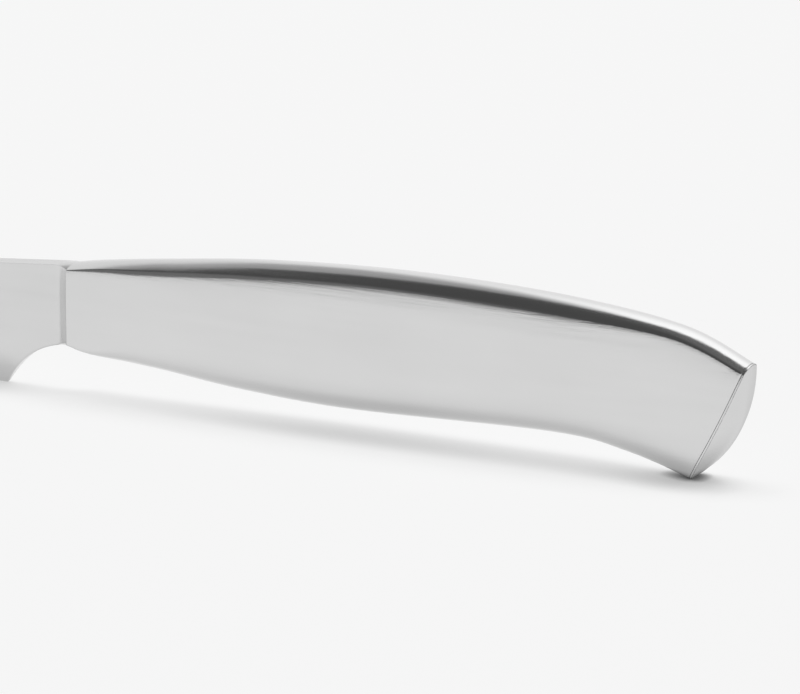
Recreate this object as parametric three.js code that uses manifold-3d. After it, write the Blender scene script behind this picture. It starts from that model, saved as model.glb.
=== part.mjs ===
import * as THREE from "three";
import { mergeVertices } from "three/addons/utils/BufferGeometryUtils.js";
import Module from "manifold-3d";

// Steak knife, all stainless steel, standing on its edge with the spine up
// Millimetres. X runs from the blade's tip to the butt, Y across the thickness, Z up from the table.
// While it is built, X is 0 at the joint between blade and handle.

// Handle, side view
const handleLength = 113; // joint to the top of the rim at the butt
const jointTop = 20.69; // height of the spine at the joint
const crestTop = 26.09; // highest point of the spine
const buttTop = 18.71; // top of the rim at the butt
const jointBottom = 7.88; // height of the belly at the joint
const swellBottom = 3.48; // lowest point of the palm swell
const hollowBottom = 4.3; // finger hollow ahead of the butt
const buttBottom = 0.22; // lower corner of the rim, which the end plate carries down to the table
const buttSetback = 9.04; // how far the lower corner of the butt lies behind its top
const rimBow = 0.42; // how far the rim bows out between its two corners

// Handle, cross section
const jointThickness = 6;
const gripThickness = 9.4;
const buttThickness = 6.1;
const jointCrownWidth = 5.4; // width of the rounded back between its two shoulder lines
const gripCrownWidth = 8.2;
const buttCrownWidth = 5;
const jointCrownRise = 0.4; // height of the rounded back over its shoulder lines
const gripCrownRise = 1.72;
const buttCrownRise = 0.85;
const sideBend = 2.5; // how much of the side's lean lies close under the shoulder line: 1 is a flat side
const widestShare = 0.52; // place of the widest point, as a share of the section's height from the back
const jointBellyPower = 60; // squareness of the belly: 2 is an ellipse
const gripBellyPower = 2.5;
const buttBellyPower = 3;
const seamLand = 1; // narrow flat that grinding the seam flush leaves along the belly
const buttLand = 3; // width of that flat at the butt, which the knife stands on

// Handle, construction
const shellWall = 0.9;
const fitGap = 0.3; // clearance of what sits inside the shells, and of the tang in its bed
const capSeam = 0.2; // fine line between shells and end plate
const capEdge = 0.15; // straight edge of the end plate before its dome
const capDome = 2.88; // height of the dome
const spigotLength = 4; // how far the end plate reaches into the shells
const fillerStart = 5; // front of the cement core, behind the joint
const fillerBackGap = 2; // room between the core and the spigot

// Blade
const bladeLength = 117; // joint to tip
const bladeThickness = 2.75;
const spineFall = 0.09; // drop of the blade's back for each millimetre towards the tip
const tipDrop = 3.4; // extra drop of the back at the tip
const tipRise = 4.5; // rise of the edge at the tip
const tipThickness = 1;
const tipThinning = 34; // length over which the blade thins to its tip
const edgeBend = 42; // length over which the edge rises to the tip
const edgeThickness = 0.3;
const honeHeight = 0.15; // height of the honed bevel that ends the edge in a line
const grindHeight = 7.5; // height of the ground flank over the edge
const grindShare = 0.52; // most of the blade's height that the flank may take up
const heelSetback = 11.97; // joint to heel
const heelRound = 0.3; // small rounding of the heel's corner
const choilTop = 7.87; // height of the choil at the joint
const choilPull = 6.95; // height of the curve's handle over the heel, which makes the choil scoop
const choilLean = 3.94; // how far that handle leans towards the joint
const plungeStart = 4; // joint to the beginning of the grind, over the choil
const plungeLength = 8.5;
const flareLength = 2.2; // concave flare from the blade's flat to the handle's front
const flareBend = 1.6; // how much the flare gathers at the handle: 1 is a flat slope

// Serrations
const scallopPitch = 3.4;
const scallopDepth = 0.7;
const scallopRadius = 2.1;
const scallopStart = 13; // heel to the first scallop
const scallopEnd = 14; // last scallop to the tip

// Tang
const tangLength = 44;
const tangHeight = 6;
const tangThickness = 2;
const tangTaper = 0.75; // height of the tang's end as a share of its root

// Fineness of the faceted surfaces
const crownSteps = 5;
const sideSteps = 3;
const bellySteps = 7;
const handleRings = 18;
const fillerRings = 12;
const capRings = 4;
const choilRings = 8;
const flareRings = 5;
const bladeRings = 10;
const tipRings = 5;
const scallopSides = 28;

const steel = { color: 0xb9bbbd, metalness: 1, roughness: 0.28 };
const cement = { color: 0xb7b0a2, metalness: 0, roughness: 0.95 };

const wasm = await Module();
wasm.setup();

const mix = (from, to, share) => from + (to - from) * share;
const ease = (share) => {
  const s = THREE.MathUtils.clamp(share, 0, 1);
  return s * s * (3 - 2 * s);
};

// Stations along the handle: shares of the way from joint to crest, and from crest to butt
const spineShares = [0, 0.05, 0.14, 0.3, 0.5, 0.72, 0.9, 1];
const towardsCrest = [0, 0.183, 0.448, 0.811, 1, 1, 1, 1];
const towardsButt = [0, 0, 0, 0, 0, 0.073, 0.39, 1];
const crownGrowth = [0, 0.4, 0.85, 0.98, 1, 1, 1, 1];
const crownFall = [0, 0, 0, 0, 0, 0.15, 0.74, 1];
const bellyRounding = [0, 0.86, 0.98, 1, 1, 1, 1, 1];

// Stations along the belly: shares of the way from joint to swell, to the hollow and to the corner
const bellyShares = [0, 0.05, 0.14, 0.28, 0.46, 0.78, 0.9, 1];
const towardsSwell = [0, 0.3, 0.479, 0.826, 1, 1, 1, 1];
const towardsHollow = [0, 0, 0, 0, 0, 1, 1, 1];
const towardsCorner = [0, 0, 0, 0, 0, 0, 0.336, 1];
const lastStation = spineShares.length - 1;

// A value that goes from the joint over the grip to the butt
const alongHandle = (joint, grip, butt, growth = towardsCrest, fall = towardsButt) =>
  growth.map((share, i) => mix(mix(joint, grip, share), butt, fall[i]));

const spineHeights = alongHandle(jointTop, crestTop, buttTop);
const bellyHeights = towardsSwell.map((share, i) => {
  const swell = mix(jointBottom, swellBottom, share);
  return mix(mix(swell, hollowBottom, towardsHollow[i]), buttBottom, towardsCorner[i]);
});
const bellyLength = handleLength - buttSetback;
const spineCurve = new THREE.SplineCurve(
  spineShares.map((share, i) => new THREE.Vector2(share * handleLength, spineHeights[i])),
);
const bellyCurve = new THREE.SplineCurve(
  bellyShares.map((share, i) => new THREE.Vector2(share * bellyLength, bellyHeights[i])),
);

const valueCurve = (values) => new THREE.SplineCurve(values.map((value, i) => new THREE.Vector2(i, value)));
const halfWidths = valueCurve(
  alongHandle(jointThickness / 2, gripThickness / 2, buttThickness / 2, towardsCrest, crownFall),
);
const crownWidths = valueCurve(
  alongHandle(jointCrownWidth, gripCrownWidth, buttCrownWidth, towardsCrest, crownFall),
);
const crownRises = valueCurve(
  alongHandle(jointCrownRise, gripCrownRise, buttCrownRise, crownGrowth, crownFall),
);
const bellyLands = valueCurve(alongHandle(seamLand, seamLand, buttLand));
const bellyPowers = valueCurve(
  alongHandle(jointBellyPower, gripBellyPower, buttBellyPower, bellyRounding),
);

// Place along the handle, from 0 to 1, for a distance from the joint, in step with the stations
function alongAt(distance) {
  const share = distance / handleLength;
  const next = spineShares.findIndex((station) => station > share);
  const before = spineShares[next - 1];
  return (next - 1 + (share - before) / (spineShares[next] - before)) / lastStation;
}

// Half of the handle's section, from the middle of the back to the middle of the belly
// Each point is its distance from the middle plane and its distance down from the back.
// along is 0 at the joint and 1 at the butt, inset moves the outline inwards.
function halfSection(along, height, inset) {
  const halfWidth = halfWidths.getPoint(along).y - inset;
  const crownHalf = crownWidths.getPoint(along).y / 2 - inset;
  const rise = crownRises.getPoint(along).y;
  const bellyPower = bellyPowers.getPoint(along).y;
  const landHalf = bellyLands.getPoint(along).y / 2;
  const radius = (crownHalf ** 2 + rise ** 2) / (2 * rise);
  const halfAngle = 2 * Math.atan(rise / crownHalf);
  const widest = height * widestShare;
  const shoulder = inset + rise;
  const bottom = height - inset;
  const points = [];
  for (let i = 0; i <= crownSteps; i += 1) {
    const angle = (halfAngle * i) / crownSteps;
    points.push([radius * Math.sin(angle), inset + radius * (1 - Math.cos(angle))]);
  }
  for (let i = 1; i <= sideSteps; i += 1) {
    const share = i / sideSteps;
    points.push([mix(halfWidth, crownHalf, (1 - share) ** sideBend), mix(shoulder, widest, share)]);
  }
  for (let i = 1; i <= bellySteps; i += 1) {
    const angle = (Math.PI / 2) * (i / bellySteps);
    const across = mix(landHalf, halfWidth, Math.cos(angle));
    points.push([across, mix(widest, bottom, Math.sin(angle) ** (2 / bellyPower))]);
  }
  points.push([0, bottom]);
  return points;
}

// The same half section as points in space, on the side of positive Y
function handleHalf(along, inset = 0) {
  const back = spineCurve.getPoint(along);
  const belly = bellyCurve.getPoint(along);
  const height = back.distanceTo(belly);
  const bow = rimBow * along ** 3;
  return halfSection(along, height, inset).map(([across, down]) => {
    const share = down / height;
    const x = mix(back.x, belly.x, share) + 4 * bow * share * (1 - share);
    return new THREE.Vector3(x, across, mix(back.y, belly.y, share));
  });
}

const mirrored = (point) => new THREE.Vector3(point.x, -point.y, point.z);

// A closed loop from half an outline: one side down from the back, the other side up again
function wholeLoop(half) {
  const back = half.slice(1, -1).reverse();
  return [...half.map(mirrored), ...back];
}

// A solid between loops of equal count, with flat strips over its first and last loop
function loft(loops, acrossPairs) {
  const count = loops[0].length;
  const positions = loops.flat().flatMap((point) => [point.x, point.y, point.z]);
  const indices = [];
  for (let ring = 0; ring + 1 < loops.length; ring += 1) {
    for (let i = 0; i < count; i += 1) {
      const next = (i + 1) % count;
      const a = ring * count + i;
      const b = ring * count + next;
      const c = a + count;
      const d = b + count;
      indices.push(a, b, c, b, d, c);
    }
  }
  const lastRing = (loops.length - 1) * count;
  acrossPairs(count).forEach(([p, q, r]) => {
    indices.push(p, r, q);
    indices.push(lastRing + p, lastRing + q, lastRing + r);
  });
  const geometry = new THREE.BufferGeometry();
  geometry.setAttribute("position", new THREE.Float32BufferAttribute(positions, 3));
  geometry.setIndex(indices);
  geometry.computeVertexNormals();
  return geometry;
}

// Triangles that close a loop whose second half mirrors its first
function stripAcross(count) {
  const triangles = [];
  for (let i = 0; i < count / 2; i += 1) {
    const left = i;
    const leftNext = i + 1;
    const right = (count - i) % count;
    const rightNext = count - i - 1;
    if (left !== right) triangles.push([left, leftNext, right]);
    if (leftNext !== rightNext) triangles.push([leftNext, rightNext, right]);
  }
  return triangles;
}

function toSolid(geometry) {
  const bare = geometry.clone();
  bare.deleteAttribute("normal");
  bare.deleteAttribute("uv");
  const merged = mergeVertices(bare);
  const mesh = new wasm.Mesh({
    numProp: 3,
    vertProperties: new Float32Array(merged.attributes.position.array),
    triVerts: new Uint32Array(merged.index.array),
  });
  return new wasm.Manifold(mesh);
}

function toGeometry(solid) {
  const mesh = solid.getMesh();
  const geometry = new THREE.BufferGeometry();
  geometry.setAttribute("position", new THREE.BufferAttribute(new Float32Array(mesh.vertProperties), 3));
  geometry.setIndex(new THREE.BufferAttribute(new Uint32Array(mesh.triVerts), 1));
  geometry.computeVertexNormals();
  return geometry;
}

function named(name, geometry, finish) {
  const mesh = new THREE.Mesh(geometry, new THREE.MeshStandardMaterial(finish));
  mesh.name = name;
  return mesh;
}

// Half shells of the handle, open at the front and closed at the back by the end plate
function shellGeometry(side) {
  const loops = [];
  for (let ring = 0; ring <= handleRings; ring += 1) {
    const along = ring / handleRings;
    const outer = handleHalf(along);
    const inner = handleHalf(along, shellWall).reverse();
    const loop = [...outer, ...inner];
    loops.push(side > 0 ? loop.reverse() : loop.map(mirrored));
  }
  const wallAcross = (count) => {
    const triangles = [];
    for (let i = 0; i + 1 < count / 2; i += 1) {
      triangles.push([i, i + 1, count - 1 - i], [i + 1, count - 2 - i, count - 1 - i]);
    }
    return triangles;
  };
  return loft(loops, wallAcross);
}

// Outward direction of the rim at the butt
const rimLine = spineCurve.getPoint(1).sub(bellyCurve.getPoint(1)).normalize();
const rimNormal = new THREE.Vector3(rimLine.y, 0, -rimLine.x);
const rimMiddle = new THREE.Vector3(
  (handleLength + bellyLength) / 2,
  0,
  (spineHeights[lastStation] + bellyHeights[lastStation]) / 2,
);

// Domed end plate with a spigot that centres it in the shells
function capGeometry() {
  const spigot = (along) => wholeLoop(handleHalf(along, shellWall + fitGap));
  const shifted = (loop, distance) =>
    loop.map((point) => point.clone().addScaledVector(rimNormal, distance));
  const rim = wholeLoop(handleHalf(1));
  const front = spigot(alongAt(handleLength - spigotLength));
  const loops = [front, shifted(spigot(1), capSeam), shifted(rim, capSeam)];
  const edge = shifted(rim, capSeam + capEdge);
  const middle = rimMiddle.clone().addScaledVector(rimNormal, capSeam + capEdge);
  for (let ring = 0; ring <= capRings; ring += 1) {
    const share = Math.cos((Math.PI / 2) * (ring / (capRings + 1)));
    const lift = capDome * (1 - share ** 2);
    loops.push(edge.map((point) => middle.clone().lerp(point, share).addScaledVector(rimNormal, lift)));
  }
  return loft(loops, stripAcross);
}

// Half outline of the blade at a place behind the joint, with as many points as the handle's section
function bladeHalf(x, top, bottom, half, flank, edgeHalf, hone = 0) {
  const points = [];
  for (let i = 0; i <= crownSteps; i += 1) {
    points.push(new THREE.Vector3(x, (half * i) / crownSteps, top));
  }
  for (let i = 1; i <= sideSteps; i += 1) {
    points.push(new THREE.Vector3(x, half, mix(top, flank, i / sideSteps)));
  }
  for (let i = 1; i <= bellySteps; i += 1) {
    const share = i / bellySteps;
    points.push(new THREE.Vector3(x, mix(half, edgeHalf, share), mix(flank, bottom + hone, share)));
  }
  points.push(new THREE.Vector3(x, 0, bottom));
  return points;
}

const bladeTop = (reach) => jointTop - spineFall * reach - tipDrop * (reach / bladeLength) ** 4;
const edgeHeight = (reach) => tipRise * Math.max(0, (reach - bladeLength + edgeBend) / edgeBend) ** 2;

// Share of the full grind, which fades in over the choil
const grindAt = (reach) => ease((reach - plungeStart) / plungeLength);

// Section of the ground blade, reach being the distance from the joint towards the tip
function groundHalf(reach) {
  const thin = ease((reach - bladeLength + tipThinning) / tipThinning);
  const half = mix(bladeThickness, tipThickness, thin) / 2;
  const top = bladeTop(reach);
  const bottom = edgeHeight(reach);
  const flankHeight = Math.min(grindHeight, (top - bottom) * grindShare);
  const ground = grindAt(reach);
  const edgeHalf = mix(half, edgeThickness / 2, ground);
  return bladeHalf(-reach, top, bottom, half, bottom + flankHeight, edgeHalf, honeHeight * ground);
}

// The choil: a scoop from the heel's corner up to the belly of the handle
const choilCurve = new THREE.QuadraticBezierCurve(
  new THREE.Vector2(-heelSetback + heelRound, heelRound),
  new THREE.Vector2(-heelSetback + heelRound + choilLean, heelRound + choilPull),
  new THREE.Vector2(0, choilTop),
);

// Place on the choil's curve for a given X
function choilShare(x) {
  const { v0, v1, v2 } = choilCurve;
  const square = v0.x - 2 * v1.x + v2.x;
  const linear = 2 * (v1.x - v0.x);
  const rest = v0.x - x;
  return (-linear + Math.sqrt(linear ** 2 - 4 * square * rest)) / (2 * square);
}

// Section of the neck over the choil, which cuts into the ground flank
function neckHalf(share) {
  const { x, y: bottom } = choilCurve.getPoint(share);
  const top = bladeTop(-x);
  const half = bladeThickness / 2;
  const ground = grindAt(-x);
  const flank = mix((top + bottom) / 2, grindHeight, ground);
  const cutHalf = mix(half, edgeThickness / 2, (ground * (flank - bottom)) / flank);
  return bladeHalf(x, top, bottom, half, flank, cutHalf);
}

// Concave flare from the neck to the front of the handle
function flareHalf(share) {
  const x = -flareLength * (1 - share);
  const spread = share ** flareBend;
  const neck = neckHalf(choilShare(x));
  const front = handleHalf(0);
  if (share === 1) return front;
  return neck.map((point, i) => {
    const between = point.clone().lerp(front[i], spread);
    return between.setX(x);
  });
}

// Tang section, which the core's bed repeats with a clearance
function tangHalf(x, share, clearance) {
  const half = tangThickness / 2 + clearance;
  const halfHeight = (tangHeight / 2) * mix(1, tangTaper, share) + clearance;
  const middle = (jointTop + jointBottom) / 2;
  return bladeHalf(x, middle + halfHeight, middle - halfHeight, half, middle, half);
}

function scallopCutters() {
  const first = heelSetback + scallopStart;
  const span = bladeLength - scallopEnd - first;
  const count = Math.floor(span / scallopPitch) + 1;
  const cutters = [];
  for (let i = 0; i < count; i += 1) {
    const reach = first + i * scallopPitch;
    const width = 2 * bladeThickness;
    const cutter = new THREE.CylinderGeometry(scallopRadius, scallopRadius, width, scallopSides);
    cutter.translate(-reach, 0, edgeHeight(reach) + scallopDepth - scallopRadius);
    cutters.push(toSolid(cutter));
  }
  return cutters;
}

// Blade, neck, flare and tang, forged in one
function bladeGeometry() {
  const halves = [];
  const thinStart = bladeLength - tipThinning;
  for (let i = 0; i <= tipRings; i += 1) {
    halves.push(groundHalf(mix(bladeLength, thinStart, (i / tipRings) ** 2)));
  }
  for (let i = 1; i <= bladeRings; i += 1) {
    halves.push(groundHalf(mix(thinStart, heelSetback, i / bladeRings)));
  }
  const flareStart = choilShare(-flareLength);
  for (let i = 0; i <= choilRings; i += 1) {
    halves.push(neckHalf((flareStart * i) / choilRings));
  }
  for (let i = 1; i <= flareRings; i += 1) {
    halves.push(flareHalf(i / flareRings));
  }
  halves.push(tangHalf(0, 0, 0), tangHalf(tangLength, 1, 0));
  let solid = toSolid(loft(halves.map(wholeLoop), stripAcross));
  for (const cutter of scallopCutters()) solid = solid.subtract(cutter);
  return toGeometry(solid);
}

// Cement core that beds the tang
function fillerGeometry() {
  const start = alongAt(fillerStart);
  const end = alongAt(handleLength - spigotLength - fillerBackGap);
  const loops = [];
  for (let ring = 0; ring <= fillerRings; ring += 1) {
    const along = mix(start, end, ring / fillerRings);
    loops.push(wholeLoop(handleHalf(along, shellWall + fitGap)));
  }
  const bed = [tangHalf(0, 0, fitGap), tangHalf(tangLength + fitGap, 1, fitGap)].map(wholeLoop);
  const core = toSolid(loft(loops, stripAcross));
  return toGeometry(core.subtract(toSolid(loft(bed, stripAcross))));
}

const knife = new THREE.Group();
knife.add(
  named("blade", bladeGeometry(), steel),
  named("handle_shell_left", shellGeometry(-1), steel),
  named("handle_shell_right", shellGeometry(1), steel),
  named("butt_cap", capGeometry(), steel),
  named("handle_filler", fillerGeometry(), cement),
);

// Origin under the middle of the knife, on the table
const box = new THREE.Box3().setFromObject(knife);
knife.position.set(-(box.min.x + box.max.x) / 2, 0, -box.min.z);

export default knife;
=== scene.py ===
import math

import bpy
import numpy as np
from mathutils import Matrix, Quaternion, Vector


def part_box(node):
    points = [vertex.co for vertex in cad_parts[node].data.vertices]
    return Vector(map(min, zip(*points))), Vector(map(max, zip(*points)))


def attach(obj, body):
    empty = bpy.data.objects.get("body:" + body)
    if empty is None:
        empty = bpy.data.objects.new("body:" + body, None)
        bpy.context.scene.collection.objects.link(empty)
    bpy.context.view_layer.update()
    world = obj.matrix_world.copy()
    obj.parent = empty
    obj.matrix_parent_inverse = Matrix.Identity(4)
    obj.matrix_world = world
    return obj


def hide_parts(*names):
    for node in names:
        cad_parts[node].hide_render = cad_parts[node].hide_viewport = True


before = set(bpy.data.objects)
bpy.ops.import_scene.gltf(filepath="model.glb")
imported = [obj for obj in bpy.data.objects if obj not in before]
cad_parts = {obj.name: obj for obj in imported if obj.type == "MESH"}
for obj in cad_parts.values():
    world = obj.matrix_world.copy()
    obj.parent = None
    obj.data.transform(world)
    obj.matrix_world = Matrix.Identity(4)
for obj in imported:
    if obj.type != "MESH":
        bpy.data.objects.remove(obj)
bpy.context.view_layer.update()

MM = 0.001

# Sizes of the knife in millimetres, the same as in the part's source
# X is 0 at the joint between blade and handle here, and Z is 0 at the table.

# Handle, side view
HANDLE_LENGTH = 113.0  # joint to the top of the rim at the butt
JOINT_TOP = 20.69  # height of the back at the joint
CREST_TOP = 26.09  # highest point of the back
BUTT_TOP = 18.71  # top of the rim at the butt
JOINT_BOTTOM = 7.88  # height of the belly at the joint
SWELL_BOTTOM = 3.48  # lowest point of the palm swell
HOLLOW_BOTTOM = 4.3  # finger hollow ahead of the butt
BUTT_BOTTOM = 0.22  # lower corner of the rim
BUTT_SETBACK = 9.04  # how much nearer to the joint that corner lies than the rim's top
RIM_BOW = 0.42  # how far the rim bows out between its two corners

# Handle, cross section
JOINT_THICKNESS = 6.0
GRIP_THICKNESS = 9.4
BUTT_THICKNESS = 6.1
JOINT_CROWN_WIDTH = 5.4  # width of the rounded back between its two shoulder lines
GRIP_CROWN_WIDTH = 8.2
BUTT_CROWN_WIDTH = 5.0
GRIP_CROWN_RISE = 1.72  # height of the rounded back over its shoulder lines
BUTT_CROWN_RISE = 0.85
WIDEST_SHARE = 0.52  # place of the widest point, as a share of the section's height from the back
JOINT_BELLY_POWER = 60.0  # squareness of the belly: 2 is an ellipse
GRIP_BELLY_POWER = 2.5
BUTT_BELLY_POWER = 3.0
SEAM_LAND = 1.0  # narrow flat along the belly
BUTT_LAND = 3.0  # width of that flat at the butt

# Handle, construction
SHELL_WALL = 0.9
FIT_GAP = 0.3  # clearance of the spigot inside the shells
CAP_SEAM = 0.2  # room between shells and end plate
CAP_EDGE = 0.15  # straight edge of the end plate before its dome
CAP_DOME = 2.88  # height of the dome
SPIGOT_LENGTH = 4.0

# Blade
BLADE_LENGTH = 117.0  # joint to tip
BLADE_THICKNESS = 2.75
SPINE_FALL = 0.09  # drop of the blade's back for each millimetre towards the tip
TIP_DROP = 3.4  # extra drop of the back at the tip
TIP_RISE = 4.5  # rise of the edge at the tip
TIP_THICKNESS = 1.0
TIP_THINNING = 34.0  # length over which the blade thins to its tip
EDGE_BEND = 42.0  # length over which the edge rises to the tip
EDGE_THICKNESS = 0.3
GRIND_HEIGHT = 7.5  # height of the ground flank over the edge
GRIND_SHARE = 0.52  # most of the blade's height that the flank may take up
HEEL_SETBACK = 11.97  # joint to heel
HEEL_ROUND = 0.3
CHOIL_TOP = 7.87  # height of the choil at the joint
CHOIL_PULL = 6.95  # height of the curve's handle over the heel
CHOIL_LEAN = 3.94  # how far that handle leans towards the joint
PLUNGE_START = 4.0  # joint to the beginning of the grind, over the choil
PLUNGE_LENGTH = 8.5

# Serrations
SCALLOP_PITCH = 3.4
SCALLOP_DEPTH = 0.7
SCALLOP_RADIUS = 2.1
SCALLOP_START = 13.0  # heel to the first scallop
SCALLOP_END = 14.0  # last scallop to the tip

# Tang
TANG_LENGTH = 44.0
TANG_HEIGHT = 6.0
TANG_THICKNESS = 2.0
TANG_TAPER = 0.75  # height of the tang's end as a share of its root

# Stations along the handle, as in the part's source
SPINE_SHARES = [0, 0.05, 0.14, 0.3, 0.5, 0.72, 0.9, 1]
TOWARDS_CREST = [0, 0.183, 0.448, 0.811, 1, 1, 1, 1]
TOWARDS_BUTT = [0, 0, 0, 0, 0, 0.073, 0.39, 1]
CROWN_FALL = [0, 0, 0, 0, 0, 0.15, 0.74, 1]
BELLY_ROUNDING = [0, 0.86, 0.98, 1, 1, 1, 1, 1]
BELLY_SHARES = [0, 0.05, 0.14, 0.28, 0.46, 0.78, 0.9, 1]
TOWARDS_SWELL = [0, 0.3, 0.479, 0.826, 1, 1, 1, 1]
TOWARDS_HOLLOW = [0, 0, 0, 0, 0, 1, 1, 1]
TOWARDS_CORNER = [0, 0, 0, 0, 0, 0, 0.336, 1]

# Forms that the looks shape more softly than the solids, with lengths in millimetres
JOINT_CROWN_RISE = 0.48  # height of the rounded back over its shoulder lines at the joint
CROWN_GROWTH = [0, 0.12, 0.62, 0.97, 1, 1, 1, 1]  # its way to the grip's height, at the same stations
SIDE_BEND = 2.7  # how much of the side's lean lies close under the shoulder line: 1 is a flat side
GRIND_BEND = 1.5  # how softly the flank starts under the blade's flat: 1 is a crisp line
FLARE_LENGTH = 2.5  # concave flare from the blade's flat to the handle's front
FLARE_CROWN_EXTRA = 0.1  # how much longer it is at the back
FLARE_CROWN_SHARE = 0.12  # share of the height over which that fades
FLARE_TOP_BEND = 1.4  # how much the flare gathers at the handle: 1 is a flat slope
FLARE_FOOT_BEND = 1.5
FLARE_LEAD = 0.3  # flat neck before the flare
SEAM_SHOWN = 0.038  # width of the fine line before the end plate

# Rounding of the shoulder line at the same stations, in millimetres over and under the line
ROUNDS_OVER = [0.12, 0.2, 0.35, 0.42, 0.42, 0.42, 0.38, 0.34]
ROUNDS_UNDER = [0.12, 0.6, 0.7, 0.42, 0.42, 0.42, 0.34, 0.3]

# Softness of the other edges, in millimetres
FRONT_EDGE_ROUND = 0.03
RIM_EDGE_ROUND = 0.04
CAP_EDGE_ROUND = 0.08
SPINE_EDGE_ROUND = 0.015
CHOIL_EDGE_ROUND = 0.1
TANG_EDGE_ROUND = 0.1
ROUND_LIMIT = 0.8  # most of the half edge that its rounding may take up
EDGE_RINGS = [(1.0, 0.0), (0.3, 0.3), (0.0, 1.0)]  # rings round a soft edge: shares inwards and along
DOME_START = 0.993  # first ring of the dome as a share of the rim, which softens the plate's edge

# Powers of the curves
BOW_POWER = 3  # the rim's bow grows towards the butt
TIP_DROP_POWER = 4
EDGE_RISE_POWER = 2
TIP_CROWDING = 1.5  # rings lie closer together towards the tip

# Fineness of the surfaces
CROWN_STEPS = 22
SHOULDER_STEPS = 6
SIDE_STEPS = 14
FLANK_STEPS = 18
UNDER_STEPS = 8
EDGE_TURN_STEPS = 8
HANDLE_RINGS = 150
INSIDE_STEP = 6  # the shell's inside has every sixth ring
CAP_RINGS = 26
FLARE_RINGS = 14
CHOIL_RINGS = 26
HEEL_RINGS = 16
BLADE_STEP = 0.17
TIP_RINGS = 40
FINE = 160  # points of the curves that are spaced out evenly afterwards

# Place of the joint in the shared frame, in metres
JOINT_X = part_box("handle_shell_left")[0].x
TABLE_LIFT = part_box("blade")[0].z


def mix(start, end, share):
    return start + (end - start) * share


def ease(share):
    s = min(max(share, 0.0), 1.0)
    return s * s * (3 - 2 * s)


# Curves along the handle


def along_handle(joint, grip, butt, growth=TOWARDS_CREST, fall=TOWARDS_BUTT):
    """A value at each station, from the joint over the grip to the butt."""
    return [mix(mix(joint, grip, g), butt, f) for g, f in zip(growth, fall)]


def spline(values, along):
    """Smooth curve through evenly spaced values, along running from 0 to 1."""
    last = len(values) - 1
    place = along * last
    i = min(int(place), last)
    t = place - i
    before = values[max(i - 1, 0)]
    here = values[i]
    after = values[min(i + 1, last)]
    later = values[min(i + 2, last)]
    start_slope = (after - before) / 2
    end_slope = (later - here) / 2
    cubic = 2 * here - 2 * after + start_slope + end_slope
    square = -3 * here + 3 * after - 2 * start_slope - end_slope
    return cubic * t**3 + square * t**2 + start_slope * t + here


BELLY_LENGTH = HANDLE_LENGTH - BUTT_SETBACK
SPINE_X = [share * HANDLE_LENGTH for share in SPINE_SHARES]
SPINE_Z = along_handle(JOINT_TOP, CREST_TOP, BUTT_TOP)
BELLY_X = [share * BELLY_LENGTH for share in BELLY_SHARES]
BELLY_Z = [
    mix(mix(mix(JOINT_BOTTOM, SWELL_BOTTOM, swell), HOLLOW_BOTTOM, hollow), BUTT_BOTTOM, corner)
    for swell, hollow, corner in zip(TOWARDS_SWELL, TOWARDS_HOLLOW, TOWARDS_CORNER)
]
THICKNESSES = along_handle(JOINT_THICKNESS, GRIP_THICKNESS, BUTT_THICKNESS, fall=CROWN_FALL)
CROWN_WIDTHS = along_handle(JOINT_CROWN_WIDTH, GRIP_CROWN_WIDTH, BUTT_CROWN_WIDTH, fall=CROWN_FALL)
CROWN_RISES = along_handle(JOINT_CROWN_RISE, GRIP_CROWN_RISE, BUTT_CROWN_RISE, CROWN_GROWTH, CROWN_FALL)
BELLY_LANDS = along_handle(SEAM_LAND, SEAM_LAND, BUTT_LAND)
BELLY_POWERS = along_handle(JOINT_BELLY_POWER, GRIP_BELLY_POWER, BUTT_BELLY_POWER, BELLY_ROUNDING)


def along_at(distance):
    """Place on the handle's curves at a distance behind the joint."""
    stations = np.linspace(0, 1, len(SPINE_SHARES))
    return float(np.interp(distance / HANDLE_LENGTH, SPINE_SHARES, stations))


# Slanted rim at the butt
RIM_ACROSS = np.array([SPINE_X[-1] - BELLY_X[-1], SPINE_Z[-1] - BELLY_Z[-1]])
RIM_LINE = RIM_ACROSS / np.linalg.norm(RIM_ACROSS)
RIM_NORMAL = np.array([RIM_LINE[1], 0, -RIM_LINE[0]])
RIM_MIDDLE = np.array([(SPINE_X[-1] + BELLY_X[-1]) / 2, 0, (SPINE_Z[-1] + BELLY_Z[-1]) / 2])


# Polylines


def distances(points):
    """How far along a polyline each of its points lies."""
    return np.concatenate([[0], np.cumsum(np.linalg.norm(np.diff(points, axis=0), axis=1))])


def resample(points, count):
    """count + 1 points at even distances along a polyline."""
    points = np.asarray(points, float)
    lengths = distances(points)
    places = np.linspace(0, lengths[-1], count + 1)
    return np.column_stack([np.interp(places, lengths, column) for column in points.T])


def trimmed(points, distance):
    """The polyline without its first stretch of the given length."""
    lengths = distances(points)
    start = [np.interp(distance, lengths, column) for column in points.T]
    return np.vstack([start, points[lengths > distance]])


def bend(start, corner, end, count):
    """Points of a soft corner between two places."""
    t = np.linspace(0, 1, count + 1)[:, None]
    start, corner, end = (np.asarray(p, float) for p in (start, corner, end))
    return (1 - t) ** 2 * start + 2 * t * (1 - t) * corner + t**2 * end


# Cross sections of the handle


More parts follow.
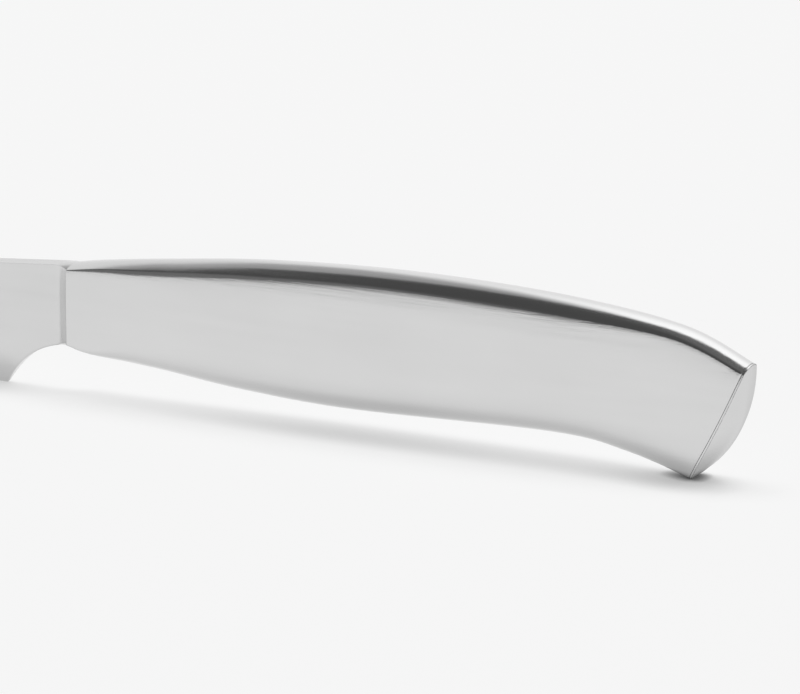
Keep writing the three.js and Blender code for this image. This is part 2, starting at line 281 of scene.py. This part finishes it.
def half_section(along, height, inset):
    """Half of the handle's section from the back to the belly: distance across, distance down."""
    half_width = spline(THICKNESSES, along) / 2 - inset
    crown_half = spline(CROWN_WIDTHS, along) / 2 - inset
    rise = spline(CROWN_RISES, along)
    land_half = spline(BELLY_LANDS, along) / 2
    widest = height * WIDEST_SHARE
    bottom = height - inset
    radius = (crown_half**2 + rise**2) / (2 * rise)
    angles = np.linspace(0, 2 * math.atan(rise / crown_half), FINE)
    crown = np.column_stack([radius * np.sin(angles), inset + radius * (1 - np.cos(angles))])
    share = np.linspace(0, 1, FINE)
    side_across = mix(half_width, crown_half, (1 - share) ** SIDE_BEND)
    side = np.column_stack([side_across, mix(inset + rise, widest, share)])
    quarter = np.linspace(0, math.pi / 2, FINE)
    belly_across = mix(land_half, half_width, np.cos(quarter))
    belly_down = mix(widest, bottom, np.sin(quarter) ** (2 / spline(BELLY_POWERS, along)))
    belly = np.column_stack([belly_across, belly_down])
    turn = np.argmax(belly_across / half_width + (belly_down - widest) / (bottom - widest))
    flank = resample(belly[: turn + 1], FLANK_STEPS)
    under = resample(np.vstack([belly[turn:], [[0, bottom]]]), UNDER_STEPS)
    corner = crown[-1]
    crown = resample(trimmed(crown[::-1], spline(ROUNDS_OVER, along))[::-1], CROWN_STEPS)
    side = resample(trimmed(side, spline(ROUNDS_UNDER, along)), SIDE_STEPS)
    shoulder = bend(crown[-1], corner, side[0], SHOULDER_STEPS)
    return np.vstack([crown, shoulder[1:-1], side, flank[1:], under[1:]])


def handle_half(along, inset=0.0):
    """The half section as points in space on the side of positive Y."""
    back = np.array([spline(SPINE_X, along), spline(SPINE_Z, along)])
    belly = np.array([spline(BELLY_X, along), spline(BELLY_Z, along)])
    height = float(np.linalg.norm(back - belly))
    section = half_section(along, height, inset)
    share = section[:, 1] / height
    halfway = 4 * share * (1 - share)  # 1 halfway down and 0 at both ends
    bow = RIM_BOW * along**BOW_POWER * halfway
    x = mix(back[0], belly[0], share) + bow
    return np.column_stack([x, section[:, 0], mix(back[1], belly[1], share)])


def whole_loop(half):
    """Closed loop from half an outline: down the side of negative Y and up the other."""
    down = half * [1, -1, 1]
    return np.vstack([down, half[1:-1][::-1]])


# Meshes


def added(name, data):
    """A new object in the scene."""
    thing = bpy.data.objects.new(name, data)
    bpy.context.scene.collection.objects.link(thing)
    return thing


class Surface:
    """Collects points and faces of one piece, in millimetres from the joint."""

    def __init__(self):
        self.points = []
        self.faces = []
        self.sharp = set()

    def loop(self, points):
        first = len(self.points)
        self.points.extend(map(tuple, points))
        return list(range(first, len(self.points)))

    def strip(self, low, high, closed=True):
        """Faces between two loops of as many points."""
        count = len(low)
        for i in range(count if closed else count - 1):
            j = (i + 1) % count
            self.faces.append((low[i], low[j], high[j], high[i]))

    def crease(self, loop, closed=True):
        """Keeps the edges along a loop crisp in the shading."""
        count = len(loop)
        for i in range(count if closed else count - 1):
            self.sharp.add(tuple(sorted((loop[i], loop[(i + 1) % count]))))

    def close_across(self, loop, flip=False):
        """Faces over a loop whose second half mirrors its first."""
        count = len(loop)
        for i in range(count // 2):
            corners = [loop[i], loop[i + 1], loop[count - i - 1], loop[(count - i) % count]]
            corners = list(dict.fromkeys(corners))
            self.faces.append(tuple(corners[::-1] if flip else corners))

    def piece(self, name, node, material, slot):
        mesh = bpy.data.meshes.new(name)
        place = np.asarray(self.points) * MM + [JOINT_X, 0, TABLE_LIFT]
        mesh.from_pydata([tuple(p) for p in place], [], self.faces)
        mesh.validate()
        for polygon in mesh.polygons:
            polygon.use_smooth = True
        for edge in mesh.edges:
            edge.use_edge_sharp = tuple(sorted(edge.vertices)) in self.sharp
        mesh.materials.append(material)
        piece = added(name, mesh)
        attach(piece, "root")
        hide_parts(node)


# Handle


def shell(side, name, node, material):
    """Half of the handle's skin, with its wall, its open front and its rim at the butt."""
    surface = Surface()
    turn = np.array([1, side, 1])
    places = np.linspace(0, 1, HANDLE_RINGS)
    skin = []
    for inwards, onwards in EDGE_RINGS:
        skin.append(handle_half(0.0, inwards * FRONT_EDGE_ROUND) + [onwards * FRONT_EDGE_ROUND, 0, 0])
    for along in places[1:-1]:
        skin.append(handle_half(along))
    for inwards, backwards in reversed(EDGE_RINGS):
        skin.append(handle_half(1.0, inwards * RIM_EDGE_ROUND) - RIM_NORMAL * backwards * RIM_EDGE_ROUND)
    lining = [handle_half(along, SHELL_WALL) for along in (*places[::INSIDE_STEP], 1.0)]
    outside = [surface.loop(half * turn) for half in skin]
    inside = [surface.loop(half * turn) for half in lining]
    for low, high in zip(outside, outside[1:]):
        surface.strip(low, high, closed=False)
    for low, high in zip(inside, inside[1:]):
        surface.strip(high, low, closed=False)
    surface.strip(inside[0], outside[0], closed=False)
    surface.strip(outside[-1], inside[-1], closed=False)
    for loop in (outside[0], outside[-1], inside[0], inside[-1]):
        surface.crease(loop, closed=False)
    for k in (0, -1):
        border = [loop[k] for loop in outside] + [loop[k] for loop in reversed(inside)]
        surface.crease(border)
        surface.faces.append(tuple(border if k == 0 else border[::-1]))
    if side > 0:
        surface.faces = [face[::-1] for face in surface.faces]
    surface.piece(name, node, material, "handle_steel")


def cap(material):
    """Domed end plate with its spigot."""
    surface = Surface()
    spigot_inset = SHELL_WALL + FIT_GAP
    spigot_front = along_at(HANDLE_LENGTH - SPIGOT_LENGTH)
    front = surface.loop(whole_loop(handle_half(spigot_front, spigot_inset)))
    root = surface.loop(whole_loop(handle_half(1.0, spigot_inset)) + RIM_NORMAL * SEAM_SHOWN)
    rings = [front, root]
    for inwards, onwards in EDGE_RINGS:
        ring = whole_loop(handle_half(1.0, inwards * CAP_EDGE_ROUND))
        rings.append(surface.loop(ring + RIM_NORMAL * (SEAM_SHOWN + onwards * CAP_EDGE_ROUND)))
    foot = RIM_NORMAL * (CAP_SEAM + CAP_EDGE)
    middle = RIM_MIDDLE + foot
    edge = whole_loop(handle_half(1.0)) + foot
    rings.append(surface.loop(edge - RIM_NORMAL * CAP_EDGE_ROUND))
    shares = np.cos(np.linspace(0, math.pi / 2, CAP_RINGS + 1))
    for share in (DOME_START, *shares[1:-1]):
        lift = CAP_DOME * (1 - share**2)
        rings.append(surface.loop(mix(middle, edge, share) + RIM_NORMAL * lift))
    for low, high in zip(rings, rings[1:]):
        surface.strip(low, high)
    for ring in rings[:3]:
        surface.crease(ring)
    surface.close_across(front, flip=True)
    top = surface.loop([middle + RIM_NORMAL * CAP_DOME])[0]
    last = rings[-1]
    for i in range(len(last)):
        surface.faces.append((last[i], last[(i + 1) % len(last)], top))
    surface.piece("butt_cap_domed", "butt_cap", material, "cap_steel")


# Blade


def blade_half(x, top, bottom, half, grind_top, edge_half, top_round, bottom_round):
    """Half of a blade section with as many points as the handle's section."""
    crown = resample([[0, top], [half - top_round, top]], CROWN_STEPS)
    shoulder = bend([half - top_round, top], [half, top], [half, top - top_round], SHOULDER_STEPS)
    side = resample([[half, top - top_round], [half, grind_top]], SIDE_STEPS)
    share = np.linspace(0, 1, FINE)
    ground = np.column_stack([mix(half, edge_half, share**GRIND_BEND), mix(grind_top, bottom, share)])
    soft = min(bottom_round, ROUND_LIMIT * edge_half)
    ground = trimmed(ground[::-1], soft)[::-1]
    turn = bend(ground[-1], [edge_half, bottom], [edge_half - soft, bottom], EDGE_TURN_STEPS)
    half_turn = EDGE_TURN_STEPS // 2
    flank = resample(np.vstack([ground, turn[1 : half_turn + 1]]), FLANK_STEPS)
    under = resample(np.vstack([turn[half_turn:], [[0, bottom]]]), UNDER_STEPS)
    section = np.vstack([crown, shoulder[1:-1], side, flank[1:], under[1:]])
    return np.column_stack([np.full(len(section), x), section[:, 0], section[:, 1]])


def blade_top(reach):
    """Height of the blade's back at a distance from the joint."""
    return JOINT_TOP - SPINE_FALL * reach - TIP_DROP * (reach / BLADE_LENGTH) ** TIP_DROP_POWER


def edge_height(reach):
    """Height of the edge, without its serrations."""
    return TIP_RISE * max(0.0, (reach - BLADE_LENGTH + EDGE_BEND) / EDGE_BEND) ** EDGE_RISE_POWER


FIRST_SCALLOP = HEEL_SETBACK + SCALLOP_START
SCALLOPS = int((BLADE_LENGTH - SCALLOP_END - FIRST_SCALLOP) / SCALLOP_PITCH) + 1
LAST_SCALLOP = FIRST_SCALLOP + (SCALLOPS - 1) * SCALLOP_PITCH


def scallop_rise(reach):
    """How far the serrations cut into the edge at a place."""
    nearest = round((reach - FIRST_SCALLOP) / SCALLOP_PITCH)
    nearest = min(max(nearest, 0), SCALLOPS - 1)
    centre = FIRST_SCALLOP + nearest * SCALLOP_PITCH
    away = abs(reach - centre)
    if away >= SCALLOP_RADIUS:
        return 0.0
    cut = edge_height(centre) + SCALLOP_DEPTH - SCALLOP_RADIUS + math.sqrt(SCALLOP_RADIUS**2 - away**2)
    return max(0.0, cut - edge_height(reach))


def grind_at(reach):
    """Share of the full grind, which fades in over the choil."""
    return ease((reach - PLUNGE_START) / PLUNGE_LENGTH)


def ground_half(reach):
    """Half section of the blade between heel and tip."""
    thin = ease((reach - BLADE_LENGTH + TIP_THINNING) / TIP_THINNING)
    half = mix(BLADE_THICKNESS, TIP_THICKNESS, thin) / 2
    top = blade_top(reach)
    bottom = edge_height(reach)
    flank = bottom + min(GRIND_HEIGHT, (top - bottom) * GRIND_SHARE)
    edge_half = mix(half, EDGE_THICKNESS / 2, grind_at(reach))
    cut = scallop_rise(reach)
    cut_half = mix(half, edge_half, (1 - cut / (flank - bottom)) ** GRIND_BEND)
    return blade_half(-reach, top, bottom + cut, half, flank, cut_half, SPINE_EDGE_ROUND, CHOIL_EDGE_ROUND)


# Choil: a curve from the heel to the joint
HEEL = np.array([-HEEL_SETBACK + HEEL_ROUND, HEEL_ROUND])
CHOIL_HANDLE = HEEL + [CHOIL_LEAN, CHOIL_PULL]
CHOIL_END = np.array([0, CHOIL_TOP])


def choil_point(share):
    return (1 - share) ** 2 * HEEL + 2 * share * (1 - share) * CHOIL_HANDLE + share**2 * CHOIL_END


def choil_share(x):
    """Share of the choil's curve at a place along the knife."""
    square = HEEL[0] - 2 * CHOIL_HANDLE[0] + CHOIL_END[0]
    linear = 2 * (CHOIL_HANDLE[0] - HEEL[0])
    rest = HEEL[0] - x
    return (-linear + math.sqrt(linear**2 - 4 * square * rest)) / (2 * square)


def neck_half(share):
    """Half section of the blade over the choil."""
    x, bottom = choil_point(share)
    top = blade_top(-x)
    half = BLADE_THICKNESS / 2
    ground = grind_at(-x)
    flank = mix((top + bottom) / 2, GRIND_HEIGHT, ground)
    cut_half = mix(half, EDGE_THICKNESS / 2, ground * ((flank - bottom) / flank) ** GRIND_BEND)
    return blade_half(x, top, bottom, half, flank, cut_half, SPINE_EDGE_ROUND, CHOIL_EDGE_ROUND)


def flare_half(share):
    """Half section between the neck and the handle's front."""
    front = handle_half(0.0)
    down = (JOINT_TOP - front[:, 2]) / (JOINT_TOP - JOINT_BOTTOM)
    at_back = np.array([1 - ease(d / FLARE_CROWN_SHARE) for d in down])
    x = (FLARE_LENGTH + FLARE_CROWN_EXTRA * at_back) * (share - 1)
    spread = share ** mix(FLARE_TOP_BEND, FLARE_FOOT_BEND, down)
    neck = np.array([neck_half(choil_share(place))[i] for i, place in enumerate(x)])
    between = mix(neck, front, spread[:, None])
    between[:, 0] = x
    return between


def tang_half(x, share):
    """Half section of the tang, which tapers from its root to its end."""
    half_height = TANG_HEIGHT / 2 * mix(1, TANG_TAPER, share)
    middle = (JOINT_TOP + JOINT_BOTTOM) / 2
    top = middle + half_height
    bottom = middle - half_height
    half = TANG_THICKNESS / 2
    return blade_half(x, top, bottom, half, middle, half, TANG_EDGE_ROUND, TANG_EDGE_ROUND)


def blade(material):
    """Blade, neck, flare and tang, forged in one."""
    surface = Surface()
    tip_end = LAST_SCALLOP + SCALLOP_RADIUS
    heel_end = FIRST_SCALLOP - SCALLOP_RADIUS
    tip = [mix(BLADE_LENGTH, tip_end, (i / TIP_RINGS) ** TIP_CROWDING) for i in range(TIP_RINGS)]
    serrated = np.linspace(tip_end, heel_end, int((tip_end - heel_end) / BLADE_STEP))
    heel = np.linspace(heel_end, HEEL_SETBACK, HEEL_RINGS)[1:]
    halves = [ground_half(reach) for reach in (*tip, *serrated, *heel)]
    flare_start = choil_share(-FLARE_LENGTH - FLARE_LEAD)
    halves += [neck_half(flare_start * i / CHOIL_RINGS) for i in range(CHOIL_RINGS + 1)]
    halves += [flare_half(i / FLARE_RINGS) for i in range(FLARE_RINGS + 1)]
    halves += [tang_half(0, 0), tang_half(TANG_LENGTH, 1)]
    rings = [surface.loop(whole_loop(half)) for half in halves]
    for low, high in zip(rings, rings[1:]):
        surface.strip(low, high)
    for ring in (rings[0], *rings[-3:]):
        surface.crease(ring)
    surface.close_across(rings[0], flip=True)
    surface.close_across(rings[-1])
    surface.piece("blade_forged", "blade", material, "blade_steel")


# Shader nodes
NOISE_ROUGHNESS = 0.55


def fill(tree, socket, value):
    """Sets a socket to a value, or links another node's output to it."""
    if isinstance(value, bpy.types.NodeSocket):
        tree.links.new(value, socket)
    else:
        socket.default_value = value


def calculate(tree, operation, *values):
    node = tree.nodes.new("ShaderNodeMath")
    node.operation = operation
    for socket, value in zip(node.inputs, values):
        fill(tree, socket, value)
    return node.outputs["Value"]


def ranged(tree, value, before, after, kind="LINEAR"):
    """Maps one range, low and high, to another and stops at its ends."""
    node = tree.nodes.new("ShaderNodeMapRange")
    node.interpolation_type = kind
    names = ("From Min", "From Max", "To Min", "To Max")
    for name, number in zip(names, (*before, *after)):
        fill(tree, node.inputs[name], number)
    tree.links.new(value, node.inputs["Value"])
    return node.outputs["Result"]


def grey(level):
    return (level, level, level, 1)


def grey_ramp(tree, value, stops):
    """Grey levels at places from 0 to 1."""
    node = tree.nodes.new("ShaderNodeValToRGB")
    elements = node.color_ramp.elements
    elements.remove(elements[-1])
    for i, (place, level) in enumerate(stops):
        element = elements[0] if i == 0 else elements.new(place)
        element.position = place
        element.color = grey(level)
    tree.links.new(value, node.inputs["Fac"])
    return node.outputs["Color"]


def noise(tree, scale, detail):
    """Noise in object space, drawn out by a scale for each axis."""
    place = tree.nodes.new("ShaderNodeTexCoord")
    mapping = tree.nodes.new("ShaderNodeMapping")
    mapping.inputs["Scale"].default_value = scale
    texture = tree.nodes.new("ShaderNodeTexNoise")
    texture.inputs["Scale"].default_value = 1.0
    texture.inputs["Detail"].default_value = detail
    texture.inputs["Roughness"].default_value = NOISE_ROUGHNESS
    tree.links.new(place.outputs["Object"], mapping.inputs["Vector"])
    tree.links.new(mapping.outputs["Vector"], texture.inputs["Vector"])
    return texture.outputs["Fac"]


def bump(tree, height, distance, before=None):
    node = tree.nodes.new("ShaderNodeBump")
    node.inputs["Strength"].default_value = 1.0
    node.inputs["Distance"].default_value = distance
    tree.links.new(height, node.inputs["Height"])
    if before is not None:
        tree.links.new(before, node.inputs["Normal"])
    return node.outputs["Normal"]


# Materials
NOISE_SPAN = (0.25, 0.75)  # range of the noise that changes the roughness
COLOUR_SPAN = (0.3, 0.7)  # range of the noise that changes the colour

# Satin steel: scales of its noise along the knife, across it and upwards, and depths in metres
FINE_STREAKS = (70, 6000, 6000)
FINE_DEPTH = 7.0e-6
BROAD_STREAKS = (22, 700, 700)
BROAD_DEPTH = 1.2e-5
CLOUDS = (45, 60, 90)
ROUGHNESS_SWING = 0.04
LEVEL_SWING = 0.012

# Cement
GRAINS = (1500, 1500, 1500)
GRAIN_DEPTH = 1.0e-4
GRAIN_DARK = 0.36
GRAIN_LIGHT = 0.48
CEMENT_ROUGHNESS = 0.95


def material_nodes(name):
    material = bpy.data.materials.new(name)
    material.use_nodes = True
    tree = material.node_tree
    return material, tree, tree.nodes["Principled BSDF"].inputs


def satin_steel(name, level, roughness, edge_tint=1.0):
    """Stainless steel brushed along the knife."""
    material, tree, shader = material_nodes(name)
    shader["Metallic"].default_value = 1.0
    shader["Specular Tint"].default_value = grey(edge_tint)
    fine = noise(tree, FINE_STREAKS, detail=3.0)
    broad = noise(tree, BROAD_STREAKS, detail=2.0)
    cloudy = noise(tree, CLOUDS, detail=2.0)
    normal = bump(tree, broad, BROAD_DEPTH)
    normal = bump(tree, fine, FINE_DEPTH, normal)
    tree.links.new(normal, shader["Normal"])
    swing = (roughness - ROUGHNESS_SWING, roughness + ROUGHNESS_SWING)
    tree.links.new(ranged(tree, broad, NOISE_SPAN, swing), shader["Roughness"])
    levels = zip(COLOUR_SPAN, (level - LEVEL_SWING, level + LEVEL_SWING))
    tree.links.new(grey_ramp(tree, cloudy, levels), shader["Base Color"])
    return material


def cement(name):
    """Grey filling with grains."""
    material, tree, shader = material_nodes(name)
    grains = noise(tree, GRAINS, detail=4.0)
    levels = zip(COLOUR_SPAN, (GRAIN_DARK, GRAIN_LIGHT))
    tree.links.new(grey_ramp(tree, grains, levels), shader["Base Color"])
    tree.links.new(bump(tree, grains, GRAIN_DEPTH), shader["Normal"])
    shader["Roughness"].default_value = CEMENT_ROUGHNESS
    return material


# The knife
handle_steel = satin_steel("handle_steel", level=0.722, roughness=0.17)
blade_steel = satin_steel("blade_steel", level=0.715, roughness=0.2)
cap_steel = satin_steel("cap_steel", level=0.715, roughness=0.2, edge_tint=0.8)

shell(-1, "handle_shell_left_skin", "handle_shell_left", handle_steel)
shell(1, "handle_shell_right_skin", "handle_shell_right", handle_steel)
cap(cap_steel)
blade(blade_steel)

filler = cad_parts["handle_filler"]
filler.data.materials.clear()
filler.data.materials.append(cement("filler_cement"))

# Camera at the photograph's place, with lengths in metres
AZIMUTH = math.radians(25.375)
ELEVATION = math.radians(16.887)
ROLL = -0.0044
DISTANCE = 1.1
FOCAL_PIXELS = 7265.5
IMAGE_WIDTH = 800
SENSOR = 36.0
CLIP_NEAR = 0.01
CLIP_FAR = 100
TARGET_BEHIND_JOINT = 0.055595
TARGET_HEIGHT = 0.014108
TARGET = Vector((JOINT_X + TARGET_BEHIND_JOINT, 0, TABLE_LIFT + TARGET_HEIGHT))

# Directions as the camera sees them
SIDEWAYS = Vector((math.cos(AZIMUTH), math.sin(AZIMUTH), 0))
BEHIND = Vector((-math.sin(AZIMUTH), math.cos(AZIMUTH), 0))
UP = Vector((0, 0, 1))

to_camera = UP * math.sin(ELEVATION) - BEHIND * math.cos(ELEVATION)
camera_data = bpy.data.cameras.new("camera")
camera_data.sensor_width = SENSOR
camera_data.lens = FOCAL_PIXELS / IMAGE_WIDTH * SENSOR
camera_data.clip_start = CLIP_NEAR
camera_data.clip_end = CLIP_FAR
camera = added("camera", camera_data)
camera.location = TARGET + to_camera * DISTANCE
camera.rotation_mode = "QUATERNION"
camera.rotation_quaternion = (-to_camera).to_track_quat("-Z", "Y") @ Quaternion((0, 0, 1), ROLL)
bpy.context.scene.camera = camera

# Floor
FLOOR_SIZE = 12.0
FLOOR_LEVEL = 0.92
FLOOR_GLOW = 0.86  # part of its brightness that the lamp's shadow doesn't reach; a painted shadow darkens it instead
SHADOW_REACH = 0.0085  # metres from the knife within which the painted shadow darkens the glow
SHADOW_LEAN = math.radians(46)  # the painted shadow leans out in front of the knife
# Glow left over under the painted shadow for the share of the surroundings that the knife leaves free
SHADOW_FADE = [(0.0, 0.1), (0.3, 0.5), (0.55, 0.7), (0.7, 0.89), (0.85, 1.0)]
SHADOW_THIN = 0.4  # share of the painted shadow's darkening beside the thin blade
SHADOW_FULL = (JOINT_X - 0.014, JOINT_X + 0.006)  # stretch over which the painted shadow grows along the handle
CONTACT_REACH = 0.002  # metres within which painted contact shade darkens the floor's glow where the handle stands on it
CONTACT_FREE = 0.75  # share of free surroundings from which it isn't


def seen_by_eye(tree):
    """1 for what the camera sees, also in metal or through glass, and 0 for light on other things."""
    rays = tree.nodes.new("ShaderNodeLightPath").outputs
    mirrored = calculate(tree, "MAXIMUM", rays["Is Glossy Ray"], rays["Is Transmission Ray"])
    return calculate(tree, "MAXIMUM", rays["Is Camera Ray"], mirrored)


def beside_handle(tree):
    """Mask for the painted shadow and painted contact shade: 0 beside the blade and 1 beside the handle.
    """
    place = tree.nodes.new("ShaderNodeTexCoord")
    axes = tree.nodes.new("ShaderNodeSeparateXYZ")
    tree.links.new(place.outputs["Object"], axes.inputs["Vector"])
    return ranged(tree, axes.outputs["X"], SHADOW_FULL, (0.0, 1.0), "SMOOTHSTEP")


def free_surroundings(tree, reach):
    """Node that gives the share of the surroundings that the knife leaves free."""
    node = tree.nodes.new("ShaderNodeAmbientOcclusion")
    node.inputs["Distance"].default_value = reach
    return node


def glow_under_painted_shadow(tree, handle_share):
    """Glow that the knife's narrow painted shadow leaves over, darker where the knife is near."""
    # painted shadow: the floor's glow fades where the knife hides the surroundings within a short reach
    near = free_surroundings(tree, SHADOW_REACH)
    leaning = tree.nodes.new("ShaderNodeCombineXYZ")
    direction = BEHIND * math.sin(SHADOW_LEAN) + UP * math.cos(SHADOW_LEAN)
    for socket, value in zip(leaning.inputs, direction):
        socket.default_value = value
    tree.links.new(leaning.outputs["Vector"], near.inputs["Normal"])
    lost = calculate(tree, "SUBTRACT", 1.0, grey_ramp(tree, near.outputs["AO"], SHADOW_FADE))
    strength = calculate(tree, "MULTIPLY_ADD", handle_share, 1 - SHADOW_THIN, SHADOW_THIN)
    return calculate(tree, "SUBTRACT", 1.0, calculate(tree, "MULTIPLY", lost, strength))


def glow_under_painted_contact_shade(tree, handle_share):
    """Glow left over under the painted contact shade where the handle stands on the floor."""
    # painted contact shade: the glow fades where the knife hides the nearest surroundings
    near = free_surroundings(tree, CONTACT_REACH)
    share = calculate(tree, "DIVIDE", near.outputs["AO"], CONTACT_FREE)
    share = calculate(tree, "MINIMUM", share, 1.0)
    return calculate(tree, "MAXIMUM", share, calculate(tree, "SUBTRACT", 1.0, handle_share))


def floor_paint():
    """Pale paint that mostly shines by itself for whoever looks at it; its matte part takes the lamp's
    shadow of the knife, and its glow a painted shadow and painted contact shade.
    """
    paint = bpy.data.materials.new("floor_paint")
    paint.use_nodes = True
    tree = paint.node_tree
    tree.nodes.remove(tree.nodes["Principled BSDF"])
    matte = tree.nodes.new("ShaderNodeBsdfDiffuse")
    matte.inputs["Color"].default_value = grey(FLOOR_LEVEL)
    shine = tree.nodes.new("ShaderNodeEmission")
    shine.inputs["Color"].default_value = grey(FLOOR_LEVEL)
    handle_share = beside_handle(tree)
    in_shadow = glow_under_painted_shadow(tree, handle_share)
    at_contact = glow_under_painted_contact_shade(tree, handle_share)
    # painted shadow and painted contact shade darken the glow
    tree.links.new(calculate(tree, "MULTIPLY", in_shadow, at_contact), shine.inputs["Strength"])
    both = tree.nodes.new("ShaderNodeMixShader")
    tree.links.new(calculate(tree, "MULTIPLY", seen_by_eye(tree), FLOOR_GLOW), both.inputs["Fac"])
    tree.links.new(matte.outputs["BSDF"], both.inputs[1])
    tree.links.new(shine.outputs["Emission"], both.inputs[2])
    tree.links.new(both.outputs["Shader"], tree.nodes["Material Output"].inputs["Surface"])
    return paint


reach = FLOOR_SIZE / 2
floor_corners = [(-reach, -reach, 0), (reach, -reach, 0), (reach, reach, 0), (-reach, reach, 0)]
floor_mesh = bpy.data.meshes.new("floor")
floor_mesh.from_pydata(floor_corners, [], [(0, 1, 2, 3)])
floor_mesh.materials.append(floor_paint())
floor = added("floor", floor_mesh)

# Lamp over the knife and a little behind it, which casts a faint real shadow on the floor's matte part
# under the painted one, in metres
LAMP_HEIGHT = 7.0
LAMP_BACK = 1.8
LAMP_WIDTH = 5.0
LAMP_DEPTH = 2.2
LAMP_WATTS = 540.0

lamp_data = bpy.data.lights.new("overhead", "AREA")
lamp_data.shape = "RECTANGLE"
lamp_data.size = LAMP_WIDTH
lamp_data.size_y = LAMP_DEPTH
lamp_data.energy = LAMP_WATTS
lamp = added("overhead", lamp_data)
lamp.location = Vector((TARGET.x, TARGET.y, 0)) + BEHIND * LAMP_BACK + UP * LAMP_HEIGHT
lamp.rotation_euler = (0, 0, AZIMUTH)
lamp.visible_camera = False
lamp.visible_glossy = False

# Studio round the knife, in degrees: the height goes from the horizon behind (0) over the zenith (90) to
# the horizon in front (180), and the side from left to right
BACKDROP_LEVEL = 0.86
BACKDROP_TOP = 31.0  # height at which the pale backdrop ends
BACKDROP_LEAN = 1.35  # how much higher it ends for each degree further left
BACKDROP_CORNER = -8.0  # side from which it leans
CEILING_NEAR = 0.47  # grey ceiling over the backdrop
CEILING_FAR = 0.36
CEILING_END = 60.0
SOFTBOX_SIDE = (-7.0, 0.5)  # left edge of the softbox
SOFTBOX_LEVELS = (0.95, 1.36)
SOFTBOX_RISE = (16.0, 60.0)  # heights between which it grows brighter
ROOM_LEVEL = 0.078  # dark room in front
ROOM_LEFT_RISE = 0.1  # how much lighter it is on the far left
ROOM_LEFT_SIDES = (-52.0, -40.0)
ROOM_RIGHT_RISE = 0.07  # and on the right
ROOM_RIGHT_SIDES = (-14.0, 4.0)
ROOM_START = 66.5  # height at which it starts in the middle
ROOM_LEAN = 0.5  # how much higher it starts for each degree to the right
ROOM_LOWEST = 58.0
ROOM_HIGHEST = 74.0
ROOM_LEFT = 38.0  # on the far left it starts this much higher than the degrees to the left
SOFT_EDGE = 1.4  # half the width of the edges
DOME_LEVEL = 0.1  # light from all round besides the lamp
BACKGROUND_LEVEL = 0.92


def towards(tree, direction):
    """How much a ray points in a direction, from -1 to 1."""
    place = tree.nodes.new("ShaderNodeTexCoord")
    node = tree.nodes.new("ShaderNodeVectorMath")
    node.operation = "DOT_PRODUCT"
    node.inputs[1].default_value = direction
    tree.links.new(place.outputs["Generated"], node.inputs[0])
    return node.outputs["Value"]


def blended(tree, first, second, share):
    change = calculate(tree, "SUBTRACT", second, first)
    return calculate(tree, "MULTIPLY_ADD", share, change, first)


def past(tree, value, limit):
    """0 before a limit and 1 after it, with a soft edge."""
    beyond = calculate(tree, "SUBTRACT", value, limit)
    return ranged(tree, beyond, (-SOFT_EDGE, SOFT_EDGE), (0.0, 1.0), "SMOOTHSTEP")


def behind_knife(tree, height, side):
    """Pale backdrop with the ceiling over it on the left, and the softbox on the right."""
    lean = calculate(tree, "SUBTRACT", BACKDROP_CORNER, side)
    lean = calculate(tree, "MAXIMUM", lean, 0.0)
    top = calculate(tree, "MULTIPLY_ADD", lean, BACKDROP_LEAN, BACKDROP_TOP)
    ceiling = ranged(tree, height, (BACKDROP_TOP, CEILING_END), (CEILING_NEAR, CEILING_FAR))
    left = blended(tree, BACKDROP_LEVEL, ceiling, past(tree, height, top))
    softbox = ranged(tree, height, SOFTBOX_RISE, SOFTBOX_LEVELS, "SMOOTHSTEP")
    return blended(tree, left, softbox, ranged(tree, side, SOFTBOX_SIDE, (0.0, 1.0), "SMOOTHSTEP"))


def room_start(tree, side):
    """Height at which the dark room starts."""
    start = calculate(tree, "MULTIPLY_ADD", side, ROOM_LEAN, ROOM_START)
    start = calculate(tree, "MAXIMUM", start, ROOM_LOWEST)
    start = calculate(tree, "MINIMUM", start, ROOM_HIGHEST)
    return calculate(tree, "MAXIMUM", start, calculate(tree, "SUBTRACT", ROOM_LEFT, side))


def room_level(tree, side):
    left_levels = (ROOM_LEVEL + ROOM_LEFT_RISE, ROOM_LEVEL)
    left = ranged(tree, side, ROOM_LEFT_SIDES, left_levels, "SMOOTHSTEP")
    right = ranged(tree, side, ROOM_RIGHT_SIDES, (0.0, ROOM_RIGHT_RISE), "SMOOTHSTEP")
    return calculate(tree, "ADD", left, right)


def studio_world():
    """Even pale background for the camera, and a studio that the steel mirrors."""
    world = bpy.data.worlds.new("studio")
    world.use_nodes = True
    tree = world.node_tree
    height = calculate(tree, "ARCTAN2", towards(tree, UP), towards(tree, BEHIND))
    height = calculate(tree, "DEGREES", height)
    side = calculate(tree, "DEGREES", calculate(tree, "ARCSINE", towards(tree, SIDEWAYS)))
    in_room = past(tree, height, room_start(tree, side))
    studio = blended(tree, behind_knife(tree, height, side), room_level(tree, side), in_room)
    rays = tree.nodes.new("ShaderNodeLightPath").outputs
    mirrored = calculate(tree, "MAXIMUM", rays["Is Glossy Ray"], rays["Is Transmission Ray"])
    even = ranged(tree, rays["Is Camera Ray"], (0.0, 1.0), (DOME_LEVEL, BACKGROUND_LEVEL))
    background = tree.nodes["Background"]
    background.inputs["Color"].default_value = grey(1)
    tree.links.new(blended(tree, even, studio, mirrored), background.inputs["Strength"])
    return world


bpy.context.scene.world = studio_world()
bpy.context.scene.view_settings.view_transform = "Standard"
